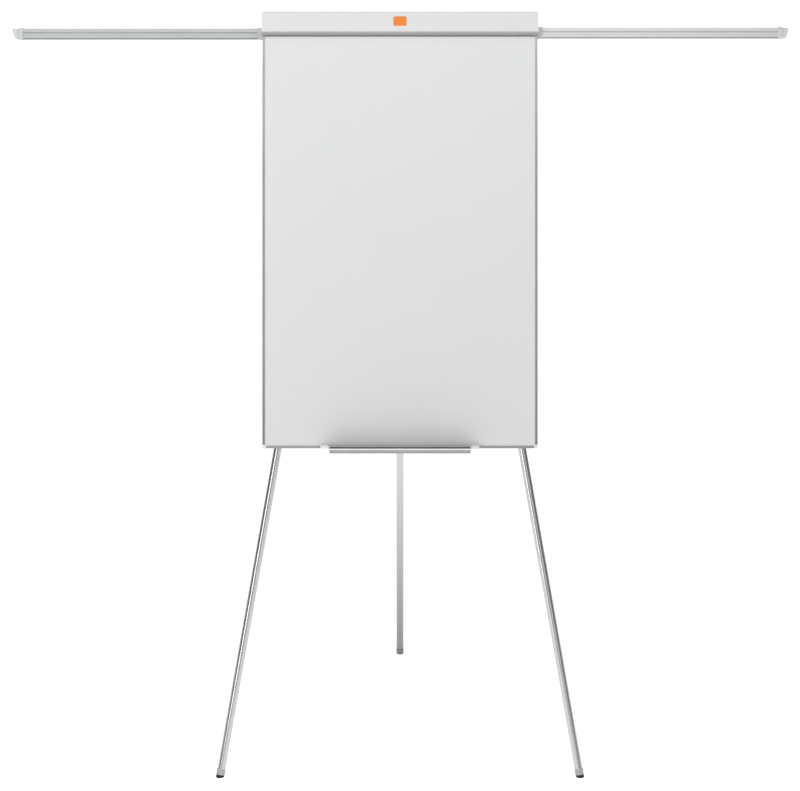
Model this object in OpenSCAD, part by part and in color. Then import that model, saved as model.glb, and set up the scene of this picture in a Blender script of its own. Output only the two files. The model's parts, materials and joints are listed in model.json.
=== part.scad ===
// Folding tripod flipchart easel with a pad clamp, two pull-out arms and a pen tray.
// +X is the viewer's right, +Y points to the back, +Z is up.
// Most pieces are drawn in the board's own frame: y = 0 is the plane of the front legs,
// negative y is towards the viewer, and z is the distance up the slope from the floor.

/* [Board] */
// Width of the board over its frame
board_w = 680; // [600:1:800]
// Height of the board over its frame
board_h = 1060; // [950:1:1200]
// Height of the board's bottom edge, up the slope
board_bottom = 820; // [760:1:880]
// Thickness of the board panel
panel_t = 11.3; // [9:0.1:16]
// Thickness of the writing sheet
sheet_t = 0.5; // [0.4:0.1:1.2]
// Thickness of the back sheet
back_t = 0.4; // [0.3:0.1:1]
// Distance from the front legs' plane to the writing face
face_offset = 44; // [42:0.5:50]
// Wall of the frame profile
frame_wall = 1.3; // [1:0.1:2]
// Width of the frame profile's lips
frame_lip = 6; // [5:0.5:9]
// Side of a corner piece
corner_size = 9; // [8:0.5:14]

/* [Stance] */
// Backward lean of the board
tilt = 12; // [8:0.5:16]
// Outward splay of each front leg
splay = 10; // [7:0.5:13]
// Distance from the front feet to the rear foot on the floor
stance_depth = 902; // [780:1:1000]
// Distance of each front pivot from the middle
pivot_x = 135; // [110:1:160]
// Distance of the pivots below the board's top edge
pivot_drop = 100; // [85:1:140]

/* [Legs] */
// Outer diameter of the inner, lower tube
stem_d = 20; // [18:0.5:24]
// Wall of the inner tube
stem_wall = 1.2; // [1:0.1:2]
// Length of the outer, upper tube
tube_len = 850; // [700:5:900]
// Wall of the outer tube
tube_wall = 1.2; // [1:0.1:2]
// Radial clearance between the two tubes
tube_gap = 0.4; // [0.3:0.05:0.8]
// Length of the inner tube that stays inside at full height
stem_overlap = 150; // [120:5:200]
// Height of the clamp collar
collar_h = 46; // [40:1:60]
// Wall of the clamp collar around the outer tube
collar_wall = 4; // [3:0.5:6]
// Diameter of the clamp knob
knob_d = 34; // [28:1:40]
// Length of the clamp knob's grip
knob_len = 16; // [12:1:22]
// Diameter of the pivot bolts
pivot_d = 8; // [6:0.5:10]
// Running clearance of pivots, pins and knobs, on the radius
run_gap = 0.06; // [0.03:0.01:0.1]
// Height of the foot cap
foot_cap_h = 15; // [10:1:25]
// Height of the rubber foot on the leg's axis
foot_pad_h = 6; // [5:0.5:14]

/* [Pad clamp] */
// Height of the cover's front face
cover_h = 49.2; // [40:0.2:60]
// Distance that the cover stands in front of the writing face
cover_out = 22; // [18:0.5:30]
// Wall of the cover
cover_wall = 1.8; // [1.2:0.1:2.5]
// Height of the cover's top above the board
cover_rise = 15.7; // [13:0.1:20]
// Diameter of the clamp and tray hinge pins
pin_d = 4; // [3:0.5:5]
// Diameter of the pad pegs
peg_d = 6; // [5:0.5:8]
// Distance of each pad peg from the middle
peg_x = 235; // [200:1:260]
// Width of the coloured plate
badge_w = 32; // [20:1:40]
// Height of the coloured plate
badge_h = 23; // [15:1:28]

/* [Arms] */
// Height of the arm profile
arm_h = 26.8; // [22:0.2:32]
// Depth of the arm profile
arm_t = 10; // [8:0.5:12]
// Wall of the arm profile
arm_wall = 1.5; // [1.2:0.1:2]
// Distance from the middle to an end cap's flange, arm pulled out
arm_reach = 937; // [800:1:1000]
// Length of the slide block on an arm's inner end
slider_len = 70; // [50:1:90]
// Clearance between an arm and its track
arm_gap = 0.6; // [0.45:0.05:0.8]
// Height of the arms' middle below the board's top edge
arm_drop = 30.5; // [30:0.5:40]
// Length of a guide beside the board
guide_out = 14; // [10:1:30]

/* [Pen tray] */
// Length of the tray
tray_l = 350; // [300:1:400]
// Depth of the tray in front of its hinge
tray_d = 50; // [40:1:60]
// Height of the tray's front lip
tray_lip = 12.2; // [10:0.2:16]
// Wall of the tray
tray_wall = 1.6; // [1.2:0.1:2.5]
// Width of a tray clip
clip_w = 19.5; // [15:0.5:25]

/* [Hidden] */
$fn = 64;
eps = 0.01;
cut = 2000;

// Legs: lengths from the pivot to the floor, and the rear leg's opening angle
board_top = board_bottom + board_h;
pivot_height = board_top - pivot_drop;
front_len = pivot_height / cos(splay);
rear_run = stance_depth - pivot_height * sin(tilt);
rear_rise = pivot_height * cos(tilt);
rear_len = norm([rear_run, rear_rise]);
rear_lean = atan2(rear_run, rear_rise);
rear_open = tilt + rear_lean;
stem_r = stem_d / 2;
tube_in_r = stem_r + tube_gap;
tube_r = tube_in_r + tube_wall;
lug_r = tube_r + 2.4;
lug_t = 2 * tube_r + 2.8;
plug_len = 46;
tube_top = lug_r + 1;
tube_low = tube_top + tube_len;
stem_top = tube_low - stem_overlap;
foot_r = stem_r + 0.5;
pad_r = stem_r + 0.9;
pad_tail = 12;
foot_cap_floor = 1.5;

// Clamp collars and knobs, as distances below the pivot and radii about the leg
collar_tail = 22;
collar_low = tube_low + collar_tail;
collar_top = collar_low - collar_h;
collar_r = tube_r + collar_wall;
knob_at = collar_low - 13;
knob_boss_r = 9;
knob_seat = collar_r + 9;
knob_stud_r = 3;

// The model's middle lies halfway between the front and the rear foot's edges
front_edge = -pad_r / cos(tilt);
rear_edge = stance_depth + pad_r / cos(rear_lean);
front_y = -(front_edge + rear_edge) / 2;

// Board panel, in the board's frame
face_y = -face_offset;
panel_back = face_y + panel_t;
panel_gap = 0.2;
frame_front = face_y - frame_wall;
frame_back = panel_back + frame_wall;
frame_depth = frame_back - frame_front;
screw_head_r = 3.8;
screw_head_h = 2.4;

// Arm rail behind the board
arm_mid = board_top - arm_drop;
rail_front_wall = 2.4;
rail_wall = 1.6;
cell_h = arm_h + 2 * arm_gap;
cell_t = arm_t + 2 * arm_gap;
front_cell = panel_back + rail_front_wall;
rear_cell = front_cell + cell_t + rail_wall;
rail_back = rear_cell + cell_t + rail_wall;
rail_half_h = cell_h / 2 + rail_wall;
rail_low = arm_mid - rail_half_h;
rail_half_l = board_w / 2 - frame_lip - 2;
guide_end = board_w / 2 + guide_out;
arm_inner = rail_half_l - 0.4;
guide_gap = 0.3;
guide_wall = 0.8;
guide_half_h = arm_h / 2 + guide_gap + guide_wall;
slider_gap = 0.15;

// Arm profile, and the plugs that fit inside it
arm_step = 2.6;
arm_front_wall = arm_wall + 0.8;
plug_gap = 0.15;
plug_front = arm_front_wall + plug_gap;
plug_back = arm_t - arm_wall - plug_gap;
plug_low = -arm_h / 2 + arm_wall + arm_step + plug_gap;
plug_high = arm_h / 2 - arm_wall - plug_gap;

// Head bracket: a steel channel that is open downwards
bracket_t = 2.5;
bracket_reach = 35;
bracket_top = min(pivot_height + bracket_reach, rail_low - 2);
bracket_bottom = pivot_height - bracket_reach;
bracket_front = panel_back;
bracket_back = tube_r + 3.4;
bracket_rear = bracket_back + bracket_t;
stop_gap = 0.4;
bracket_half = pivot_x + (pivot_height - bracket_bottom) * tan(splay)
    + tube_r / cos(splay) + stop_gap + bracket_t;
ear_gap = 0.3;
ear_x = lug_t / 2 + ear_gap;
ear_t = 3;
ear_half_h = lug_r + 3;
notch_half = ear_x - eps;
notch_top = pivot_height + tube_r / sin(rear_open) - bracket_back / tan(rear_open) + 1.2;
bolt_head_r = pivot_d / 2 + 3.5;
bolt_head_h = 5;
spacer_r = pivot_d / 2 + 4;

// Saddles that hold the spread front legs: above the clamp collars and within the panel
saddle_h = 44;
saddle_gap = 0.5;
saddle_wall = 3;
saddle_lap = 6;
saddle_foot = 18;
saddle_out = tube_r / cos(splay) + saddle_h / 2 * tan(splay) + saddle_gap;
saddle_room = board_w / 2 - frame_lip - 2 - saddle_out - saddle_wall - saddle_foot;
saddle_z = max(
    board_bottom + 2 * saddle_h,
    pivot_height - (collar_top - 30) * cos(splay) + saddle_h / 2,
    pivot_height - (saddle_room - pivot_x) / tan(splay));
saddle_x = pivot_x + (pivot_height - saddle_z) * tan(splay);
saddle_foot_x = saddle_x + saddle_out + saddle_wall + saddle_foot / 2;
saddle_foot_back = panel_back + 3;

// Pad clamp: the hinge lies midway between the board's top and the inside of the cover
boss_r = pin_d / 2 + 2.5;
spring_wire = 0.8;
spring_gap = 0.05;
spring_r = boss_r + spring_gap + spring_wire;
boss_clear = 0.25;
spring_clear = 0.3;
hinge_rise = (boss_r + boss_clear + cover_rise - cover_wall - spring_r - spring_clear) / 2;
hinge_y = face_y + 8;
hinge_z = board_top + hinge_rise;
cover_top = board_top + cover_rise;
cover_front = face_y - cover_out;
cover_bottom = cover_top - cover_h;
cover_back = hinge_y + 3;
cover_half = board_w / 2 + 1;
cover_round = 4;
cheek_t = 3;
cheek_r = hinge_rise - 0.9;
lip_y = face_y - 4;
lip_z = cover_bottom - 7.5;
lip_rim = 2.8;
grip_half = board_w / 2 - frame_lip - 1;
rail_plate_t = 2.8;
rail_plate_y = frame_front - rail_plate_t;
rail_foot = board_top - 20;
clamp_rail_half = cover_half - cheek_t - 1;
rail_screw_x = 0.92 * clamp_rail_half;
peg_z = board_top - 12;
peg_len = cover_out - 10;
hook_w = 22;
hook_h = 12;
hook_t = 2.2;
hook_gap = 0.2;
slot_half = min(66, rail_screw_x - 2 * screw_head_r - peg_x);
slot_h = 5;
spring_turns = 8;
spring_pitch = 1.2;
spring_mid = clamp_rail_half - 30;
spring_slot = spring_turns * spring_pitch + 3;
spring_room = spring_r + 1.15;

// Pen tray hinge
barrel_r = pin_d / 2 + 2.5;
tray_pin_y = frame_front - barrel_r - 1.7;
tray_pin_z = board_bottom + 3.4;
tray_half = tray_l / 2;
tray_floor = 0.3 - barrel_r;
end_t = 3;
clip_gap = 1.5;
clip_wall = 2.4;
clip_low = board_bottom - clip_wall;
clip_high = board_bottom + 9.4;
pin_stub = 9;

// Places one piece in the board's frame
module on_board() {
    translate([0, front_y, 0]) rotate([-tilt, 0, 0]) children();
}

// A block given by its lowest and highest corners
module block(low, high) {
    translate(low) cube(high - low);
}

// A rod along X, Y or the board's Z, from one end to the other
module rod_x(x0, x1, y, z, r) {
    translate([x0, y, z]) rotate([0, 90, 0]) cylinder(r = r, h = x1 - x0);
}
module rod_y(y0, y1, x, z, r) {
    translate([x, y0, z]) rotate([-90, 0, 0]) cylinder(r = r, h = y1 - y0);
}

// Outline of a shape in the Y-Z plane, drawn along X
module along_x(x0, x1) {
    translate([x0, 0, 0]) rotate([90, 0, 90]) linear_extrude(x1 - x0) children();
}

// ---- Board ----

module panel_sheet(y0, y1) {
    half = board_w / 2 - frame_wall - panel_gap;
    z0 = board_bottom + frame_wall + panel_gap;
    z1 = board_top - frame_wall - panel_gap;
    difference() {
        block([-half, y0, z0], [half, y1, z1]);
        for (side = [-1, 1], z = [board_bottom, board_top])
            translate([side * board_w / 2, (y0 + y1) / 2, z])
                cube([2 * corner_size, cut, 2 * corner_size], center = true);
    }
}

module board_face() {
    color([0.93, 0.93, 0.93]) on_board() panel_sheet(face_y, face_y + sheet_t);
}

module board_core() {
    color([0.78, 0.70, 0.56]) on_board() panel_sheet(face_y + sheet_t, panel_back - back_t);
}

module board_back() {
    color([0.70, 0.71, 0.72]) on_board() panel_sheet(panel_back - back_t, panel_back);
}

// Section of the frame profile: a channel that opens towards +X from its web at x = 0
module frame_section() {
    difference() {
        translate([0, frame_front]) square([frame_lip, frame_depth]);
        translate([frame_wall, face_y]) square([frame_lip, panel_t]);
    }
}

module frame_side(side) {
    z0 = board_bottom + corner_size;
    z1 = board_top - corner_size;
    color("silver") on_board() mirror([side > 0 ? 1 : 0, 0, 0])
        translate([-board_w / 2, 0, z0]) linear_extrude(z1 - z0) frame_section();
}

module frame_left() { frame_side(-1); }
module frame_right() { frame_side(1); }

module frame_level(z, up) {
    half = board_w / 2 - corner_size;
    color("silver") on_board() translate([0, 0, z]) mirror([0, 0, up ? 0 : 1])
        translate([half, 0, 0]) rotate([0, -90, 0]) linear_extrude(2 * half) frame_section();
}

module frame_bottom() { frame_level(board_bottom, true); }
module frame_top() { frame_level(board_top, false); }

module frame_corners() {
    round_r = corner_size / 2 - 0.2;
    color("whitesmoke") on_board() for (side = [-1, 1], end = [-1, 1])
        translate([side * (board_w / 2 - corner_size), frame_front,
                   end > 0 ? board_top - corner_size : board_bottom + corner_size])
            flip(side, end) union() {
                block([0, 0, 0], [corner_size - round_r, frame_depth, corner_size]);
                block([0, 0, 0], [corner_size, frame_depth, corner_size - round_r]);
                rod_y(0, frame_depth, corner_size - round_r, corner_size - round_r, round_r);
            }
}

// Flips a shape into one of the four corners
module flip(side, end) {
    mirror([side < 0 ? 1 : 0, 0, 0]) mirror([0, 0, end < 0 ? 1 : 0]) children();
}

// ---- Pad clamp ----

module clamp_rail() {
    color([0.80, 0.81, 0.82]) on_board() difference() {
        union() {
            block([-clamp_rail_half, rail_plate_y, rail_foot],
                  [clamp_rail_half, frame_front, hinge_z]);
            difference() {
                block([-clamp_rail_half, frame_front - eps, board_top + 0.4],
                      [clamp_rail_half, hinge_y, hinge_z - 1.5]);
                for (side = [-1, 1]) translate([side * spring_mid, hinge_y, hinge_z])
                    cube([spring_slot, 2 * spring_room, 2 * spring_room], center = true);
            }
            rod_x(-clamp_rail_half, clamp_rail_half, hinge_y, hinge_z, boss_r);
        }
        rod_x(-cut, cut, hinge_y, hinge_z, pin_d / 2);
        for (side = [-1, 1])
            block([side * peg_x - slot_half, rail_plate_y - 1, peg_z - slot_h / 2],
                  [side * peg_x + slot_half, frame_front + 1, peg_z + slot_h / 2]);
    }
}

// Outline of the cover above its lip, drawn in from the outside by an inset
module cover_outline(inset) {
    reach = cover_back - cover_front;
    low = cover_bottom + lip_rim;
    translate([cover_front + cover_round, cover_top - cover_round]) circle(cover_round - inset);
    translate([cover_front + inset, low])
        square([reach - inset, cover_top - cover_round - low]);
    translate([cover_front + cover_round, low])
        square([reach - cover_round, cover_top - inset - low]);
}

// Section of the cover: top, front and the sloping lip that holds the paper
module cover_section() {
    union() {
        difference() {
            cover_outline(0);
            translate([eps, -eps]) cover_outline(cover_wall);
        }
        polygon([
            [lip_y, lip_z],
            [lip_y, lip_z + cover_wall],
            [cover_front + cover_wall, cover_bottom + lip_rim],
            [cover_front + cover_wall, cover_bottom + 3 * lip_rim],
            [cover_front, cover_bottom + 3 * lip_rim],
            [cover_front, cover_bottom]
        ]);
    }
}

module clamp_bar() {
    color([0.88, 0.88, 0.89]) on_board()
        along_x(-cover_half + cheek_t, cover_half - cheek_t) cover_section();
}

module clamp_grip() {
    color([0.25, 0.25, 0.26]) on_board()
        block([-grip_half, lip_y, lip_z - 1.2],
              [grip_half, face_y - 0.4, lip_z + cover_wall]);
}

// End cheek: a plate of the cover's own outline, with the bore for the hinge pin
module clamp_ends() {
    color([0.88, 0.88, 0.89]) on_board() difference() {
        for (x = [-cover_half, cover_half - cheek_t])
            along_x(x, x + cheek_t) union() {
                translate([cover_front + cover_round, cover_top - cover_round])
                    circle(cover_round);
                translate([hinge_y, hinge_z]) circle(cheek_r);
                polygon([
                    [cover_front, cover_top - cover_round],
                    [cover_front, cover_bottom],
                    [lip_y, lip_z],
                    [lip_y + 2, lip_z],
                    [lip_y + 2, hinge_z - cheek_r],
                    [hinge_y, hinge_z - cheek_r],
                    [hinge_y, hinge_z + cheek_r],
                    [hinge_y, cover_top],
                    [cover_front + cover_round, cover_top]
                ]);
            }
        rod_x(-cut, cut, hinge_y, hinge_z, pin_d / 2 + run_gap);
    }
}

// One torsion spring at each end, wound around the boss as a plain ring stack
module clamp_springs() {
    color("dimgray") on_board() for (side = [-1, 1], i = [0 : spring_turns - 1])
        translate([side * (spring_mid + (i - (spring_turns - 1) / 2) * spring_pitch),
                   hinge_y, hinge_z])
            rotate([0, 90, 0]) rotate_extrude()
                translate([spring_r - spring_wire / 2, 0]) circle(d = spring_wire, $fn = 16);
}

module hinge_pins() {
    clamp_out = cover_half - 0.5;
    clamp_in = clamp_rail_half - 20;
    tray_in = tray_half - pin_stub;
    tray_out = tray_half + clip_gap + clip_w - 3;
    color("gray") on_board() for (side = [-1, 1]) mirror([side < 0 ? 1 : 0, 0, 0]) {
        rod_x(clamp_in, clamp_out, hinge_y, hinge_z, pin_d / 2);
        rod_x(tray_in, tray_out, tray_pin_y, tray_pin_z, pin_d / 2);
    }
}

module badge_plate() {
    badge_t = 0.8;
    r = 4;
    mid_z = cover_bottom + cover_h / 2;
    color([0.94, 0.51, 0.16]) on_board()
        translate([0, cover_front - badge_t, mid_z]) rotate([-90, 0, 0]) linear_extrude(badge_t)
            union() {
                square([badge_w - 2 * r, badge_h], center = true);
                square([badge_w, badge_h - 2 * r], center = true);
                for (x = [-1, 1], y = [-1, 1])
                    translate([x * (badge_w / 2 - r), y * (badge_h / 2 - r)]) circle(r);
            }
}

// Hook that rides in the clamp rail's slot and carries the pad's punched holes
module pad_hook(side) {
    front = rail_plate_y - hook_t;
    back = rail_plate_y - hook_gap;
    tongue = hook_w / 2 - 2;
    color([0.30, 0.31, 0.33]) on_board() translate([side * peg_x, 0, peg_z]) union() {
        block([-hook_w / 2, front, -hook_h / 2], [hook_w / 2, back, hook_h / 2]);
        block([-tongue, back - eps, hook_gap - slot_h / 2],
              [tongue, frame_front - 0.3, slot_h / 2 - hook_gap]);
        rod_y(front - peg_len, front + eps, 0, 0, peg_d / 2);
    }
}

module pad_hook_left() { pad_hook(-1); }
module pad_hook_right() { pad_hook(1); }

// ---- Arms ----

module arm_rail() {
    color([0.76, 0.77, 0.78]) on_board() difference() {
        block([-rail_half_l, panel_back, arm_mid - rail_half_h],
              [rail_half_l, rail_back, arm_mid + rail_half_h]);
        for (y = [front_cell, rear_cell])
            block([-cut, y, arm_mid - cell_h / 2], [cut, y + cell_t, arm_mid + cell_h / 2]);
    }
}

// Two mouth guides, each wrapping the rail's end and showing beside the board
module arm_guides() {
    color([0.82, 0.83, 0.84]) on_board() for (side = [-1, 1])
        mirror([side < 0 ? 1 : 0, 0, 0])
            arm_guide((side > 0 ? front_cell : rear_cell) + arm_gap);
}

// Guide on the right, around an arm whose front is at y
module arm_guide(y) {
    rim = guide_gap + guide_wall;
    difference() {
        union() {
            block([rail_half_l + 0.1, frame_back + 0.1, arm_mid - rail_half_h],
                  [board_w / 2 + 0.2, rail_back, arm_mid + rail_half_h]);
            block([board_w / 2 + 0.1, y - rim, arm_mid - guide_half_h],
                  [guide_end, y + arm_t + rim, arm_mid + guide_half_h]);
        }
        arm_window(y);
    }
}

// Opening that an arm slides through, tighter than the rail so that the slide block stops
module arm_window(y) {
    block([-cut, y - guide_gap, arm_mid - arm_h / 2 - guide_gap],
          [cut, y + arm_t + guide_gap, arm_mid + arm_h / 2 + guide_gap]);
}

// Section of an arm: a box profile with a groove along the front and a step at the bottom
module arm_section() {
    groove_z = 2.8;
    groove = 1.2;
    difference() {
        translate([0, -arm_h / 2]) square([arm_t, arm_h]);
        translate([arm_front_wall, arm_wall - arm_h / 2 + arm_step])
            square([arm_t - arm_wall - arm_front_wall, arm_h - 2 * arm_wall - arm_step]);
        translate([-eps, groove_z]) square([groove, groove]);
        translate([-eps, -arm_h / 2 - eps]) square([arm_step / 2, arm_step]);
    }
}

module arm(side) {
    y = side > 0 ? front_cell : rear_cell;
    color([0.78, 0.79, 0.80]) on_board() mirror([side < 0 ? 1 : 0, 0, 0])
        translate([0, y + arm_gap, arm_mid]) along_x(arm_inner, arm_reach) arm_section();
}

module arm_left() { arm(-1); }
module arm_right() { arm(1); }

// End cap: a flange, a tongue inside the arm, and a tapered finger grip
module arm_cap(side) {
    y = (side > 0 ? front_cell : rear_cell) + arm_gap;
    flange_h = arm_h + 5.4;
    flange_t = 12;
    over = 1.6;
    grip_top = 15;
    grip_bottom = 7.5;
    grip_h = arm_h - 2;
    grip_cut = 3;
    tongue = 22;
    color("whitesmoke") on_board() mirror([side < 0 ? 1 : 0, 0, 0])
        translate([arm_reach, y, arm_mid]) union() {
            block([0, -over, -flange_h / 2], [flange_t, arm_t + over, flange_h / 2]);
            translate([0, arm_t, 0]) rotate([90, 0, 0]) linear_extrude(arm_t) polygon([
                [flange_t - eps, -grip_h / 2],
                [flange_t + grip_bottom, -grip_h / 2],
                [flange_t + grip_top, grip_h / 2 - grip_cut],
                [flange_t + grip_top - grip_cut, grip_h / 2],
                [flange_t - eps, grip_h / 2]
            ]);
            block([-tongue, plug_front, plug_low], [eps, plug_back, plug_high]);
        }
}

module arm_cap_left() { arm_cap(-1); }
module arm_cap_right() { arm_cap(1); }

// Slide block plugged into the arm's inner end
module arm_slider(side) {
    y = side > 0 ? front_cell : rear_cell;
    tongue = 20;
    color("dimgray") on_board() mirror([side < 0 ? 1 : 0, 0, 0])
        translate([arm_inner, y, arm_mid]) union() {
            block([-slider_len, slider_gap, slider_gap - cell_h / 2],
                  [0, cell_t - slider_gap, cell_h / 2 - slider_gap]);
            block([-eps, arm_gap + plug_front, plug_low],
                  [tongue, arm_gap + plug_back, plug_high]);
        }
}

module arm_slider_left() { arm_slider(-1); }
module arm_slider_right() { arm_slider(1); }

// ---- Head bracket and pivots ----

module head_bracket() {
    color([0.24, 0.25, 0.27]) on_board() difference() {
        union() {
            block([-bracket_half, bracket_front, bracket_bottom],
                  [bracket_half, bracket_front + bracket_t, bracket_top]);
            block([-bracket_half, bracket_front, bracket_top - bracket_t],
                  [bracket_half, bracket_rear, bracket_top]);
            block([-bracket_half, bracket_back, bracket_bottom],
                  [bracket_half, bracket_rear, bracket_top]);
            for (side = [-1, 1]) {
                x = side * (bracket_half - bracket_t / 2);
                block([x - bracket_t / 2, bracket_front, bracket_bottom],
                      [x + bracket_t / 2, bracket_rear, bracket_top]);
                e = side * (ear_x + ear_t / 2);
                block([e - ear_t / 2, bracket_front, pivot_height - ear_half_h],
                      [e + ear_t / 2, bracket_rear, bracket_top]);
            }
        }
        block([-notch_half, bracket_back - eps, bracket_bottom - 1],
              [notch_half, bracket_rear + 1, notch_top]);
        for (side = [-1, 1])
            rod_y(bracket_front - 1, bracket_rear + 1, side * pivot_x,
                  pivot_height, pivot_d / 2);
        rod_x(-ear_x - ear_t - 1, ear_x + ear_t + 1, 0, pivot_height, pivot_d / 2);
    }
}

// Screws of the bracket, the saddles and the clamp rail
module panel_screws() {
    color("gray") on_board() {
        for (x = [-0.88, -0.28, 0.28, 0.88], dz = [-22, 22])
            back_screw(x * bracket_half, bracket_front + bracket_t, pivot_height + dz);
        for (side = [-1, 1], dz = [-saddle_h / 3, saddle_h / 3])
            back_screw(side * saddle_foot_x, saddle_foot_back, saddle_z + dz);
        for (share = [-1, -0.49, 0, 0.49, 1])
            front_screw(share * rail_screw_x, rail_plate_y, peg_z);
    }
}

// A screw seen from the back of the panel, and one seen from its front
module back_screw(x, y, z) {
    translate([x, y, z]) rotate([-90, 0, 0]) screw_head();
}
module front_screw(x, y, z) {
    translate([x, y, z]) rotate([90, 0, 0]) screw_head();
}
module screw_head() {
    socket = 1.2;
    difference() {
        cylinder(r = screw_head_r, h = screw_head_h);
        translate([0, 0, screw_head_h - socket]) cylinder(r = 1.8, h = socket + 1, $fn = 6);
    }
}

module pivot_spacers() {
    lug_front = -lug_t / 2 - 0.1;
    color([0.85, 0.85, 0.86]) on_board() for (side = [-1, 1]) difference() {
        rod_y(bracket_front + bracket_t, lug_front, side * pivot_x, pivot_height, spacer_r);
        rod_y(bracket_front, 0, side * pivot_x, pivot_height, pivot_d / 2);
    }
}

module pivot_bolts() {
    socket = 3;
    color("gray") on_board() for (side = [-1, 1]) translate([side * pivot_x, 0, pivot_height])
        difference() {
            union() {
                rod_y(bracket_front + 0.1, bracket_rear + 0.5, 0, 0, pivot_d / 2);
                rod_y(bracket_rear, bracket_rear + bolt_head_h, 0, 0, bolt_head_r);
            }
            translate([0, bracket_rear + bolt_head_h - socket, 0]) rotate([-90, 0, 0])
                cylinder(r = 3.4, h = socket + 1, $fn = 6);
        }
}

module rear_pivot_bolt() {
    reach = ear_x + ear_t;
    color("gray") on_board() union() {
        rod_x(-reach - 1, reach + 1, 0, pivot_height, pivot_d / 2);
        for (x = [-reach - bolt_head_h, reach])
            rod_x(x, x + bolt_head_h, 0, pivot_height, bolt_head_r);
    }
}

// ---- Saddles that hold the spread front legs ----

module leg_saddle(side) {
    inner_y = tube_r + saddle_gap;
    outer_y = inner_y + saddle_wall;
    outer_x = saddle_out + saddle_wall;
    color([0.86, 0.86, 0.87]) on_board() mirror([side < 0 ? 1 : 0, 0, 0])
        translate([saddle_x, 0, saddle_z]) difference() {
            union() {
                block([-saddle_lap, panel_back, -saddle_h / 2],
                      [outer_x, outer_y, saddle_h / 2]);
                block([outer_x - eps, panel_back, -saddle_h / 2],
                      [outer_x + saddle_foot, saddle_foot_back, saddle_h / 2]);
            }
            block([-cut, -inner_y, -saddle_h], [saddle_out, inner_y, saddle_h]);
            block([4, saddle_foot_back, -saddle_h], [outer_x - 6, -outer_y - 1, saddle_h]);
        }
}

module leg_saddle_left() { leg_saddle(-1); }
module leg_saddle_right() { leg_saddle(1); }

// ---- Pen tray ----

module tray_clip(side) {
    x0 = tray_half + clip_gap;
    x1 = x0 + clip_w;
    color("whitesmoke") on_board() mirror([side < 0 ? 1 : 0, 0, 0]) difference() {
        union() {
            block([x0, tray_pin_y, clip_low], [x1, frame_front, clip_high]);
            rod_x(x0, x1, tray_pin_y, (clip_low + clip_high) / 2, (clip_high - clip_low) / 2);
            block([x0, frame_front - eps, clip_low], [x1, frame_back + clip_wall, board_bottom]);
            block([x0, frame_back, clip_low], [x1, frame_back + clip_wall, clip_high]);
        }
        rod_x(x0 - 1, x1 - 2.8, tray_pin_y, tray_pin_z, pin_d / 2);
    }
}

module tray_clip_left() { tray_clip(-1); }
module tray_clip_right() { tray_clip(1); }

// Places a shape on the tray's hinge pin, level with the floor
module on_tray_pin() {
    on_board() translate([0, tray_pin_y, tray_pin_z]) rotate([tilt, 0, 0]) children();
}

// Section of the tray: barrel, floor and front lip with a bead
module tray_section() {
    bead_r = 1.3;
    rib_w = 1.2;
    rib_h = 0.8;
    union() {
        circle(barrel_r);
        translate([-tray_d, tray_floor]) square([tray_d, tray_wall]);
        translate([-tray_d, tray_floor]) square([tray_wall, tray_lip - bead_r]);
        translate([bead_r - tray_d, tray_floor + tray_lip - bead_r]) circle(bead_r, $fn = 24);
        for (share = [0.33, 0.66])
            translate([-tray_d * share - rib_w / 2, tray_floor + tray_wall - eps])
                square([rib_w, rib_h]);
    }
}

module pen_tray() {
    color([0.74, 0.75, 0.76]) on_tray_pin() difference() {
        along_x(-tray_half + end_t, tray_half - end_t) tray_section();
        rod_x(-cut, cut, 0, 0, pin_d / 2 + run_gap);
    }
}

module tray_ends() {
    cut_off = 3;
    color([0.80, 0.81, 0.82]) on_tray_pin() difference() {
        for (x = [-tray_half, tray_half - end_t]) along_x(x, x + end_t) union() {
            circle(barrel_r);
            polygon([
                [0, tray_floor],
                [cut_off - tray_d, tray_floor],
                [-tray_d, tray_floor + cut_off],
                [-tray_d, tray_floor + tray_lip],
                [2 * cut_off - tray_d, tray_floor + tray_lip],
                [0, barrel_r]
            ]);
        }
        rod_x(-cut, cut, 0, 0, pin_d / 2 + run_gap);
    }
}

// ---- Legs ----

// Places a shape on a leg's pivot, with the leg running down its own -Z
module on_leg(which) {
    on_board() translate([which == "rear" ? 0 : leg_side(which) * pivot_x, 0, pivot_height])
        rotate(which == "rear" ? [rear_open, 0, 0] : [0, -leg_side(which) * splay, 0])
            children();
}

function leg_side(which) = which == "left" ? -1 : 1;
function leg_len(which) = which == "rear" ? rear_len : front_len;

// A ring or tube between two distances below the pivot
module leg_ring(from, to, outer, inner) {
    translate([0, 0, -to]) difference() {
        cylinder(r = outer, h = to - from);
        translate([0, 0, -1]) cylinder(r = inner, h = to - from + 2);
    }
}

// Head: a bored lug with a plug inside the outer tube
module leg_head(which) {
    rear = which == "rear";
    half = lug_t / 2;
    color([0.20, 0.20, 0.21]) on_leg(which) difference() {
        union() {
            if (rear) rod_x(-half, half, 0, 0, lug_r);
            else rod_y(-half, half, 0, 0, lug_r);
            translate([0, 0, -tube_top]) cylinder(r = tube_r - 0.4, h = tube_top - 6);
            translate([0, 0, -plug_len]) cylinder(r = tube_in_r - 0.05, h = plug_len - 8);
        }
        if (rear) rod_x(-half - 1, half + 1, 0, 0, pivot_d / 2 + run_gap);
        else rod_y(-half - 1, half + 1, 0, 0, pivot_d / 2 + run_gap);
    }
}

module leg_tube(which) {
    color([0.77, 0.78, 0.79]) on_leg(which)
        leg_ring(tube_top, tube_low, tube_r, tube_in_r);
}

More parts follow.
